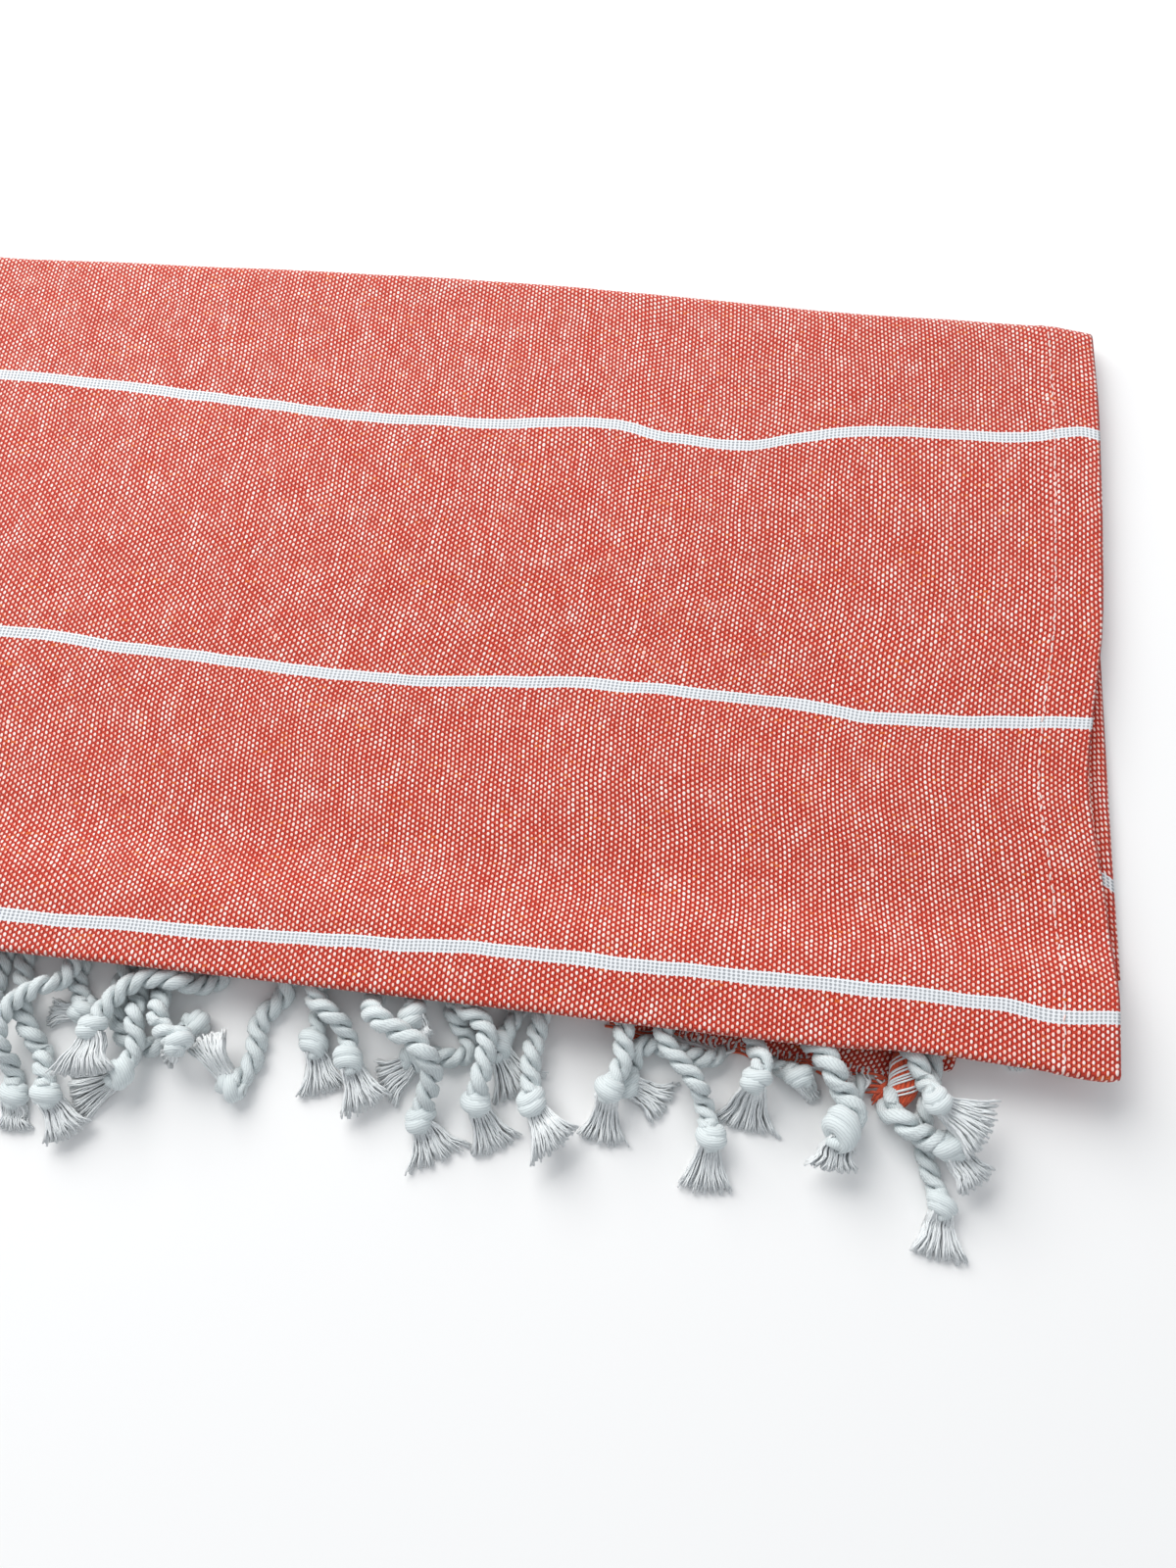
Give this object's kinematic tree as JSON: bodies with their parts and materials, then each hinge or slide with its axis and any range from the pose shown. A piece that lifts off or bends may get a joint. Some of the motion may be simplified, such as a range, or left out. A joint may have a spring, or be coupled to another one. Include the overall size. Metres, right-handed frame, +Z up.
{
  "type": "folded hammam towel",
  "caption": "Flat-woven cotton hammam towel folded into a flat rectangular stack, both ends finished with knotted rope fringes that spill out along one fold.",
  "frame": {"origin": "middle of the folded panel on the underside of the bottom layer, on the plane the towel lies on", "axes": "+X along the wefts and the folds, towards the hemmed selvedge seen in the picture; +Y from the near fold, under which the fringes lie, to the far fold; +Z up"},
  "size_m": [0.524, 0.2558, 0.015],
  "materials": {
    "cotton_cloth": "matt plain weave of coral wefts and off-white warps, with off-white stripes",
    "cotton_rope": "matt off-white twisted and knotted cotton yarn"
  },
  "bodies": {
    "root": {"cloth": "cotton_cloth", "fringe_lower": "cotton_rope", "fringe_upper": "cotton_rope"}
  },
  "joints": []
}
